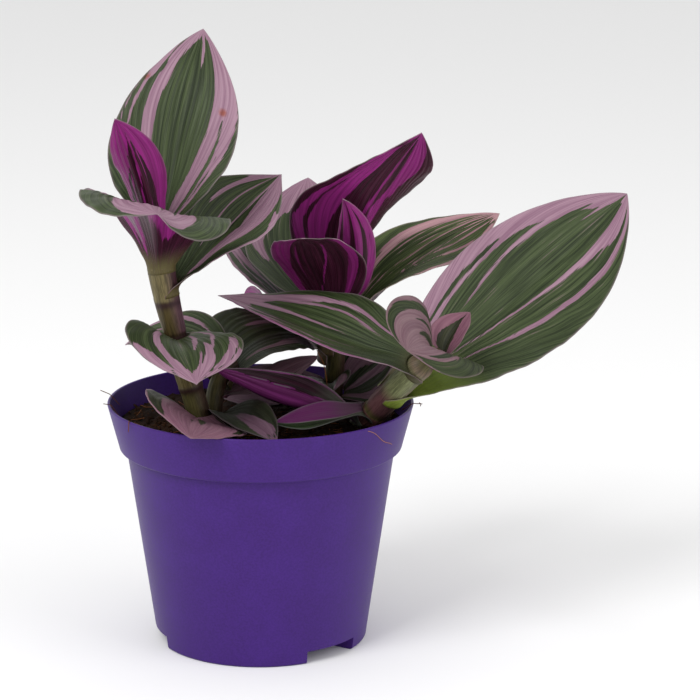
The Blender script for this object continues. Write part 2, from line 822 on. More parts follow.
class Foliage:
    """Builds the leaves."""

    def __init__(self, stems: dict[str, Stem], top: Material, under: Material) -> None:
        """Keeps what every leaf needs.

        Args:
            stems: the stems by name.
            top: the finish of the upper face.
            under: the finish of the lower face.
        """
        self.stems = stems
        self.finishes = [top, under]

    def middle(self, leaf: Leaf) -> tuple[np.ndarray, np.ndarray]:
        """The middle surface of a blade.

        Args:
            leaf: the leaf.

        Returns:
            Rows of points from the sheath to the tip, each from the right margin to the left one,
            and each row's share of the length, below 0 on the sheath.
        """
        stem = self.stems[leaf.stem]
        half = max(6, round(leaf.width / BLADE.cell[0] / 2))
        steps = max(24, round(leaf.length / BLADE.cell[1]))
        node, axis = stem.point(leaf.up), stem.way(leaf.up)
        turn_to, lift = math.radians(leaf.heading), math.radians(leaf.rise)
        level = np.array([math.cos(turn_to), math.sin(turn_to), 0.0])
        out = unit(level - axis * (level @ axis))
        side = np.cross(axis, out)
        clasp = float(stem.radius_at(leaf.up)) + BLADE.clear + leaf.nest
        ahead = level * math.cos(lift) + np.array([0.0, 0.0, math.sin(lift)])
        left = turn(np.array([-level[1], level[0], 0.0]), ahead, math.radians(leaf.roll))
        normal = np.cross(ahead, left)
        share = np.arange(-half, half + 1) / half

        def arc(centre: np.ndarray, wrap: float) -> np.ndarray:
            """A row bent round the stem."""
            angle = np.radians(wrap) * share[:, None]
            return centre + clasp * (np.cos(angle) * out + np.sin(angle) * side)

        rows, shares = [], []
        sheath_rows = round(leaf.sheath / BLADE.cell[1])
        for i in range(sheath_rows):
            below = leaf.sheath * (1 - i / sheath_rows)
            rows.append(arc(node - axis * below, leaf.wrap))
            shares.append(-below / leaf.length)
        spot = node + out * clasp
        inner = (np.arange(1, half + 1) - 0.5) / half
        for i in range(steps + 1):
            t = i / steps
            width = max(leaf.width / 2 * leaf.outline(t), BLADE.point)
            ease = float(smooth(t))
            fold, curl = math.radians(between(leaf.fold, ease)), math.radians(between(leaf.curl, ease))
            slope = fold * smooth(inner * width / BLADE.keel) + curl * inner
            rise = np.cumsum(np.sin(slope)) * width / half
            reach = np.cumsum(np.cos(slope)) * width / half
            raised = (np.sin(fold + curl * inner) - np.sin(slope)).sum() * width / half
            wing, spread = rise[:, None] * normal, reach[:, None] * left
            bottom = spot + raised * normal
            row = np.vstack([(wing - spread)[::-1] + bottom, bottom[None], wing + spread + bottom])
            if t < BLADE.opening:
                held = leaf.wrap * (1 - BLADE.release * t / BLADE.opening)
                ring = arc(node + axis * t * leaf.length * BLADE.climb, held)
                row = ring + (row - ring) * float(smooth(t / BLADE.opening))
            rows.append(row)
            shares.append(t)
            bend = math.radians(leaf.arch) * (((i + 1) / steps) ** leaf.late - t**leaf.late)
            swing, roll = math.radians(leaf.sweep) / steps, math.radians(leaf.twist) / steps
            for part in (0, 1):
                ahead, normal = turn(ahead, left, bend / 2), turn(normal, left, bend / 2)
                ahead, left = turn(ahead, normal, swing / 2), turn(left, normal, swing / 2)
                left, normal = turn(left, ahead, roll / 2), turn(normal, ahead, roll / 2)
                if part == 0:
                    spot = spot + ahead * leaf.length / steps
        places = np.array(rows)
        return self._clear_of_stem(places, stem, leaf.nest), np.array(shares)

    @staticmethod
    def _clear_of_stem(places: np.ndarray, stem: Stem, nest: float) -> np.ndarray:
        """Moves what is too near the blade's own stem straight out from it.

        Args:
            places: the blade's points.
            stem: the stem.
            nest: extra room between the two.

        Returns:
            The points, in the same rows.
        """
        samples = np.linspace(0, 1, 81)
        line, ways = stem.point(samples), stem.way(samples)
        flat = places.reshape(-1, 3)
        nearest = np.linalg.norm(flat[:, None] - line[None], axis=2).argmin(axis=1)
        offset = flat - line[nearest]
        run = (offset * ways[nearest]).sum(axis=1)
        radial = offset - run[:, None] * ways[nearest]
        away = np.linalg.norm(radial, axis=1)
        clear = stem.radius_at(samples[nearest]) + BLADE.clear + nest
        beyond = (nearest == len(samples) - 1) & (run > 0)
        push = np.where((away < clear) & ~beyond, clear / np.maximum(away, BLADE.point) - 1, 0)
        return (flat + radial * push[:, None]).reshape(places.shape)

    @staticmethod
    def lanes(leaf: Leaf, shares: np.ndarray, columns: int) -> np.ndarray:
        """The lane that each point of a blade lies in: the veins' own coordinate across it."""
        across = np.linspace(-1, 1, columns)[None, :]
        left_over = np.clip(1 - shares, 0, 1)[:, None]
        return (across - leaf.paint.drift * left_over) * (1 + leaf.paint.fan * left_over**2)

    @staticmethod
    def pink(leaf: Leaf, lanes: np.ndarray, shares: np.ndarray, seed: int) -> np.ndarray:
        """How far each point lacks green, from the leaf's stripes.

        Args:
            leaf: the leaf.
            lanes: the lane of each point.
            shares: each row's share of the length.
            seed: the leaf's seed.

        Returns:
            A stripe's value for each point.
        """
        probe = np.stack([lanes, np.zeros_like(lanes), np.zeros_like(lanes)], axis=-1)
        fringe = Waves(seed * 31, FRINGE_WAVE, 9).at(probe) * FRINGE
        along = np.broadcast_to(shares[:, None], lanes.shape) + fringe
        across = np.broadcast_to(np.linspace(-1, 1, lanes.shape[1])[None, :], lanes.shape)
        value = np.full(lanes.shape, leaf.paint.ground)
        for stripe in leaf.paint.stripes:
            value = value + (stripe.value - value) * stripe.cover(along, across)
        return value + (1 - value) * smooth((along - leaf.paint.tip) / TIP_END + 0.5)

    @staticmethod
    def _rusty(leaf: Leaf, shares: np.ndarray, columns: int) -> np.ndarray:
        """How fully each point lies in one of the leaf's specks.

        Args:
            leaf: the leaf.
            shares: each row's share of the length.
            columns: how many points a row has.

        Returns:
            Shares from 0 to 1.
        """
        across, width = np.linspace(-1, 1, columns)[None, :], leaf.half_widths(shares)
        rusty = np.zeros((len(shares), columns))
        for share, place, radius in leaf.paint.rust:
            off = np.hypot((shares[:, None] - share) * leaf.length, (across - place) * width)
            rusty = np.maximum(rusty, 1 - smooth(off / radius - 0.5))
        return rusty

    def build(self, leaf: Leaf, seed: int) -> Piece:
        """Makes one leaf as a thin two-sided blade.

        Args:
            leaf: its form and its paint.
            seed: the draw's seed, different for each leaf.

        Returns:
            The piece.
        """
        places, shares = self.middle(leaf)
        columns = places.shape[1]
        lanes = self.lanes(leaf, shares, columns)
        mesh, numbers = sheet(self._relief(leaf, places, shares, lanes, seed))
        bmesh.ops.reverse_faces(mesh, faces=mesh.faces)
        paint, run = leaf.paint, np.broadcast_to(shares[:, None], lanes.shape)
        from_margin = (1 - np.abs(np.linspace(-1, 1, columns))[None, :]) * leaf.half_widths(shares)
        thick = BLADE.thin + (1 - BLADE.thin) * smooth(from_margin / BLADE.margin)
        tint = paint.tint + (RUST - paint.tint) * self._rusty(leaf, shares, columns)[..., None]
        values = {
            "pink": self.pink(leaf, lanes, shares, seed),
            "sheath": 1 - smooth((run - paint.sheath_reach * 0.3) / paint.sheath_reach),
            "rim": (1 - smooth(from_margin / BLADE.rim)) * 0.5,
        }
        lane_layer = mesh.verts.layers.float_vector.new("lane")
        tint_layer = mesh.verts.layers.float_color.new("tint")
        husk_layer = mesh.verts.layers.float_color.new("husk")
        value_layers = {name: mesh.verts.layers.float.new(name) for name in values}
        weights = mesh.verts.layers.deform.verify()
        mesh.verts.ensure_lookup_table()
        order = [mesh.verts[number] for number in numbers]
        for vert, at in zip(order, np.ndindex(lanes.shape)):
            vert[lane_layer] = (lanes[at] * leaf.width / 2, run[at] * leaf.length, seed * BLADE.seed_lane)
            vert[tint_layer] = (*tint[at], 1.0)
            vert[husk_layer] = (*srgb(paint.husk), 1.0)
            vert[weights][0] = thick[at]
            for name, layer in value_layers.items():
                vert[layer] = values[name][at]
        bmesh.ops.remove_doubles(mesh, verts=order[-columns:], dist=BLADE.tip_weld)
        piece = to_object(f"leaf_{leaf.name}", mesh, self.finishes)
        piece.vertex_groups.new(name="body")
        shell = piece.modifiers.new("thickness", "SOLIDIFY")
        shell.thickness = BLADE.thickness * MM
        shell.offset = 0.0
        shell.material_offset = Side.UNDER.value
        shell.material_offset_rim = Side.TOP.value
        shell.vertex_group = "body"
        shell.thickness_vertex_group = 0.0
        return piece

    @staticmethod
    def _relief(
        leaf: Leaf, places: np.ndarray, shares: np.ndarray, lanes: np.ndarray, seed: int
    ) -> np.ndarray:
        """Adds the midrib's groove, the pleats over the veins and a gentle unevenness.

        Args:
            leaf: the leaf.
            places: the points of its middle surface.
            shares: each row's share of the length.
            lanes: the lane of each point.
            seed: the leaf's seed.

        Returns:
            The points, moved along the surface's normals.
        """
        normal = unit(np.cross(np.gradient(places, axis=0), np.gradient(places, axis=1)))
        side = np.linspace(-1, 1, places.shape[1])[None, :]
        middle = np.exp(-((side * leaf.half_widths(shares) / BLADE.rib) ** 2))
        fade = (smooth((shares + 0.02) / 0.15) * (1 - smooth((shares - 0.85) / 0.15)))[:, None]
        body = smooth((1 - np.abs(side)) / 0.25)
        pleats = np.cos(TURN * lanes * leaf.width / 2 / BLADE.pleat_pitch)
        height = -BLADE.groove * middle * fade + BLADE.pleat * pleats * fade * body
        uneven = Waves(seed, BLADE.uneven_wave).at(places) * BLADE.unevenness * fade
        uneven = uneven * (0.4 + 0.6 * np.abs(side))
        ripple = Waves(seed + 500, BLADE.ripple_wave).at(places) * BLADE.ripple * fade * np.abs(side) ** 4
        return places + normal * (height + uneven + ripple)[..., None]


# ---------------------------------------------------------------------------------------------
# Pot and soil
# ---------------------------------------------------------------------------------------------


def wedge(outline: Sequence[tuple[float, float]], middle: float, half: float) -> Mesh:
    """A solid swept part of the way round +Z.

    Args:
        outline: its section, radius and height of each point in order.
        middle: the angle from +X of its middle, in radians.
        half: how far it goes either way, in radians.

    Returns:
        The mesh, closed.
    """
    start = middle - half
    mesh = bmesh.new()
    section = [mesh.verts.new((r * math.cos(start), r * math.sin(start), z)) for r, z in outline]
    face = mesh.faces.new(section)
    bmesh.ops.spin(
        mesh, geom=[face], cent=(0, 0, 0), axis=(0, 0, 1), angle=2 * half, steps=14, use_merge=False,
    )
    close_up(mesh)
    return mesh


def cut_or_join(piece: Piece, tools: Sequence[Mesh], join: bool) -> None:
    """Joins solids to a piece or cuts them from it, and applies the result.

    Args:
        piece: the piece.
        tools: solids in millimetres.
        join: True to join them, False to cut.
    """
    for tool in tools:
        other = to_object("tool", tool, [])
        change = piece.modifiers.new("change", "BOOLEAN")
        change.operation = "UNION" if join else "DIFFERENCE"
        change.solver = "EXACT"
        change.object = other
        graph = bpy.context.evaluated_depsgraph_get()
        made = bpy.data.meshes.new_from_object(piece.evaluated_get(graph))
        piece.modifiers.clear()
        old, piece.data = piece.data, made
        bpy.data.meshes.remove(old)
        bpy.data.objects.remove(other)


@dataclass(frozen=True)
class Pot:
    """A nursery pot: a deep rim band, a tapered wall and three wide feet between recesses."""

    height: float = 96.0
    rim_radius: float = 60.0
    band_height: float = 18.2
    band_radius: float = 55.7
    step_radius: float = 52.8
    foot_radius: float = 41.8
    wall: float = 1.5
    floor: float = 1.6
    edge_round: float = 1.1
    recesses: int = 3
    first_recess: float = -46.5  # degrees
    recess_sweep: float = 33.5
    recess_inner: float = 27.0
    recess_height: float = 5.2
    drain_radius: float = 2.6
    drain_circle: float = 32.0
    joint: float = 0.3  # how far a recess's roof ends inside the wall
    past: float = 5.0  # how far a cut runs on past the pot
    bevel: float = 0.4  # at the step below the rim band
    crease: float = 35.0  # degrees past which an edge is sharp

    @staticmethod
    def _corner(centre: tuple[float, float], size: float, start: float, stop: float, steps: int) -> list:
        """Points of a rounded corner, in degrees."""
        angles = [math.radians(start + (stop - start) * i / steps) for i in range(steps + 1)]
        return [(centre[0] + size * math.cos(a), centre[1] + size * math.sin(a)) for a in angles]

    def _shell(self) -> list[tuple[float, float]]:
        """The outline of the wall and floor, from the axis underneath to the axis inside."""
        step = self.height - self.band_height
        lip, edge = self.edge_round / 2, self.edge_round
        out, up = self.step_radius - self.foot_radius, step - edge
        return [
            (0.0, 0.0),
            *self._corner((self.foot_radius - edge, edge), edge, -90, 0, 6),
            *[(self.foot_radius + out * k / 8, edge + up * k / 8) for k in range(1, 8)],
            (self.step_radius, step - self.bevel),
            (self.step_radius + self.bevel, step),
            *self._corner((self.band_radius - edge, step + edge), edge, -90, 0, 6),
            *self._corner((self.rim_radius - lip, self.height - lip), lip, 0, 180, 10),
            (self.band_radius - self.wall, step + self.wall),
            (self.step_radius - self.wall, step + self.wall),
            (self.foot_radius - self.wall, self.floor),
            (0.0, self.floor),
        ]

    def _angles(self) -> list[float]:
        """Middle angle of each recess, in radians."""
        return [math.radians(self.first_recess + 360 / self.recesses * i) for i in range(self.recesses)]

    def _wedges(self, radii: tuple[float, float], heights: tuple[float, float], half: float) -> list:
        """A solid at each recess.

        Args:
            radii: its inner and outer radius.
            heights: its lowest and highest point.
            half: how far it goes either way of the recess's middle, in radians.

        Returns:
            The solids.
        """
        (inner, outer), (low, high) = radii, heights
        outline = [(inner, low), (outer, low), (outer, high), (inner, high)]
        return [wedge(outline, angle, half) for angle in self._angles()]

    def _roofs(self) -> list[Mesh]:
        """The raised floor over each recess."""
        radii = (self.recess_inner - self.wall, self.foot_radius - self.joint)
        heights = (self.floor / 2, self.recess_height + self.wall)
        half = math.radians(self.recess_sweep / 2) + self.wall / self.recess_inner
        return self._wedges(radii, heights, half)

    def _recesses(self) -> list[Mesh]:
        """What is cut out for each recess."""
        radii = (self.recess_inner, self.foot_radius + self.past)
        return self._wedges(radii, (-self.past, self.recess_height), math.radians(self.recess_sweep / 2))

    def _drains(self) -> list[Mesh]:
        """A hole through each recess's roof."""
        drains = []
        for angle in self._angles():
            drain = bmesh.new()
            size = self.drain_radius
            bmesh.ops.create_cone(drain, cap_ends=True, segments=28, radius1=size, radius2=size, depth=30)
            spot = (self.drain_circle * math.cos(angle), self.drain_circle * math.sin(angle), 0)
            bmesh.ops.translate(drain, vec=spot, verts=drain.verts)
            drains.append(drain)
        return drains

    def build(self, finish: Material) -> Piece:
        """Makes the pot.

        Args:
            finish: its material.

        Returns:
            The piece.
        """
        mesh = bmesh.new()
        verts = [mesh.verts.new((r, 0.0, z)) for r, z in self._shell()]
        edges = [mesh.edges.new(pair) for pair in zip(verts, verts[1:])]
        spin = {"cent": (0, 0, 0), "axis": (0, 0, 1), "angle": TURN, "steps": 180, "use_merge": True}
        bmesh.ops.spin(mesh, geom=[*verts, *edges], **spin)
        close_up(mesh)
        piece = to_object("pot", mesh, [finish])
        cut_or_join(piece, self._roofs(), join=True)
        cut_or_join(piece, [*self._recesses(), *self._drains()], join=False)
        piece.data.shade_smooth()
        piece.data.set_sharp_from_angle(angle=math.radians(self.crease))
        return piece


@dataclass(frozen=True)
class Soil:
    """The potting mix that fills the pot, with a crumbly top."""

    level: float = 88.0
    rise: float = 1.2
    grain: float = 1.3
    wall_gap: float = 0.5
    gap: float = 0.3
    floor_gap: float = 1.0
    rings: int = 70
    sides: int = 200
    lumps: tuple[tuple, ...] = ((3, 11.0, 9, 0.8), (4, 4.2, 12, 0.6))  # seed, wave, count, height
    crests: tuple[tuple, ...] = ((5, 2.1, 14, 0.9), (6, 1.2, 14, 0.35))  # the same, only upwards
    crumb_count: int = 1500
    crumb_spread: float = 53.5  # radius that they lie within
    fibre_count: int = 150
    fibre_spread: float = 50.0

    def build(self, pot: Pot, finish: Material) -> Piece:
        """Makes the mix as one closed body.

        Args:
            pot: the pot that it fills.
            finish: its material.

        Returns:
            The piece.
        """
        clear = pot.wall + self.wall_gap
        step = pot.height - pot.band_height + pot.wall
        slope = (pot.rim_radius - pot.band_radius) / pot.band_height
        edge = pot.band_radius - clear
        base = pot.recess_height + pot.wall + self.floor_gap
        flank = [
            (0.0, base),
            (pot.foot_radius - clear, base),
            (pot.step_radius - clear, step + self.gap),
            (edge, step + self.gap),
            (edge + (self.level - step) * slope, self.level - self.grain),
        ]
        shares = 1 - np.arange(1, self.rings + 1) / self.rings
        top = [(edge * s, self.level + self.rise * (1 - s)) for s in shares]
        outline = np.array(flank + top)
        angle = np.linspace(0, TURN, self.sides + 1)
        height = np.broadcast_to(outline[:, 1:2], (len(outline), len(angle)))
        spots = ring_points(outline[:, 0:1], angle[None], height)
        loose = spots[len(flank) : -1]
        flat = loose * [1, 1, 0]
        lumps = sum(Waves(*wave).at(flat) * size for *wave, size in self.lumps)
        crests = sum(np.abs(Waves(*wave).at(flat)) * size for *wave, size in self.crests)
        loose[..., 2] += (lumps + crests - 0.4) * self.grain * 0.8
        mesh, _ = sheet(spots)
        close_up(mesh)
        return to_object("soil", mesh, [finish])

    def crumbs(self, finish: Material) -> Piece:
        """Loose crumbs and splinters of mix lying on the surface.

        Args:
            finish: their material.

        Returns:
            The piece.
        """
        draw = np.random.default_rng(11)
        mesh = bmesh.new()
        for _ in range(self.crumb_count):
            radius = self.crumb_spread * math.sqrt(draw.uniform(0, 1))
            angle = draw.uniform(0, TURN)
            size = 0.35 + 1.0 * draw.uniform(0, 1) ** 3
            made = bmesh.ops.create_icosphere(mesh, subdivisions=1, radius=size)
            for vert in made["verts"]:
                vert.co *= draw.uniform(0.7, 1.25)
            spot = ring_points(radius, angle, self.level + size * 0.3)
            spin = Matrix.Rotation(draw.uniform(0, TURN), 4, Vector(draw.normal(size=3)).normalized())
            sizes = [draw.uniform(*span) for span in ((0.8, 2.2), (0.35, 0.8), (0.5, 1.0))]
            squash = Matrix.Diagonal((*sizes, 1.0))
            bmesh.ops.transform(mesh, matrix=Matrix.Translation(spot) @ spin @ squash, verts=made["verts"])
        return to_object("soil_crumbs", mesh, [finish])

    def fibres(self, finish: Material) -> Piece:
        """Coir fibres in the surface, and a few that stick out at the rim.

        Args:
            finish: their material.

        Returns:
            The piece.
        """
        draw = np.random.default_rng(29)
        mesh = bmesh.new()
        for _ in range(self.fibre_count):
            radius = self.fibre_spread * math.sqrt(draw.uniform(0, 1))
            angle, heading = draw.uniform(0, TURN), draw.uniform(0, TURN)
            reach = draw.uniform(3.0, 9.0)
            middle = ring_points(radius, angle, self.level + draw.uniform(0.6, 1.6))
            way = np.array([math.cos(heading), math.sin(heading), draw.uniform(-0.1, 0.22)]) * reach / 2
            bow = np.array([-way[1], way[0], draw.uniform(0.2, 1.2)]) * draw.uniform(-0.35, 0.35)
            line = bent([middle - way, middle + bow, middle + way], 9)
            add_strand(mesh, line, draw.uniform(0.08, 0.17), 4)
        for spots in STRAY_FIBRES:
            add_strand(mesh, bent(spots, 14), 0.17, 5)
        return to_object("coir_fibres", mesh, [finish])


STRAY_FIBRES = (
    ((55.0, -8.5, 94.0), (59.5, -8.6, 96.9), (63.4, -8.3, 96.6)),
    ((61.8, -8.6, 97.3), (62.6, -8.4, 96.6), (62.4, -8.4, 95.6)),
    ((-55.5, 3.0, 92.5), (-59.5, 2.0, 97.4), (-63.2, 0.5, 99.4)),
    ((-54.0, -14.0, 92.0), (-57.6, -14.0, 97.2), (-60.5, -15.5, 98.0)),
    ((-46.5, -33.0, 93.5), (-48.7, -35.4, 96.6), (-48.9, -36.0, 92.0)),
    ((21.6, -1.0, 117.0), (24.6, -1.0, 111.0), (25.8, -1.0, 104.5), (26.6, -1.5, 94.0)),
)


@dataclass(frozen=True)
class Hair:
    """A fine hair that clings to the rim band."""

    start: tuple[float, float] = (-46.0, 95.0)  # degrees and height
    stop: tuple[float, float] = (-27.0, 84.5)
    wave: float = 0.5
    waves: float = 1.3
    radius: float = 0.11

    def build(self, pot: Pot, finish: Material) -> Piece:
        """Makes the hair.

        Args:
            pot: the pot that it clings to.
            finish: its material.

        Returns:
            The piece.
        """
        part = np.linspace(0, 1, 40)
        angle = np.radians(between((self.start[0], self.stop[0]), part))
        height = between((self.start[1], self.stop[1]), part) + self.wave * np.sin(part * TURN * self.waves)
        lean = (pot.rim_radius - pot.band_radius) / pot.band_height
        radius = pot.band_radius + (height - pot.height + pot.band_height) * lean + self.radius
        mesh = bmesh.new()
        add_strand(mesh, ring_points(radius, angle, height), self.radius, 5)
        return to_object("pot_hair", mesh, [finish])


# ---------------------------------------------------------------------------------------------
# The stems and leaves, as on the real plant
# ---------------------------------------------------------------------------------------------


STEMS = (
    Stem(
        "left", ((-22, -15, 88), (-27.5, -14.5, 111.5), (-37.5, -20, 140.5), (-38, -17, 165)), (4.5, 2.6),
        rings=(0.235,),
        sleeves=(
            Sleeve(0.235, 0.47, (4.7, 5.3), ("5f5534", "3c281e")),
            Sleeve(0.5, 0.7, (4.3, 5.1), ("4a3f24", "533540")),
            Sleeve(0.665, 0.85, (4.85, 5.45), ("6b6140", "4a2f36")),
        ),
    ),
    Stem("inner", ((-18.5, -5.2, 88), (-18, -5, 96.5), (-18.5, -2.5, 106.5), (-10, 4, 110.5)), (3.6, 2.8)),
    Stem("middle", ((28, 28, 92), (29.5, 23, 105.5), (29.5, 21.5, 119), (30, 20, 130)), (3.9, 2.6)),
    Stem(
        "right", ((40.5, -5, 88), (50, -14, 100.5), (57, -26.5, 114.5), (69.5, -34, 123)), (5, 2.6),
        sleeves=(
            Sleeve(0.02, 0.17, (5.6, 5.2), ("553632", "5f463c")),
            Sleeve(0.17, 0.85, (5.3, 4.9), ("5c3c3e", "6c594a"), lip=0.08, line=0.0),
            Sleeve(0.36, 0.85, (5.2, 4.9), ("6f7350", "7a6a62"), lip=0.16, line=0.0),
        ),
    ),
)

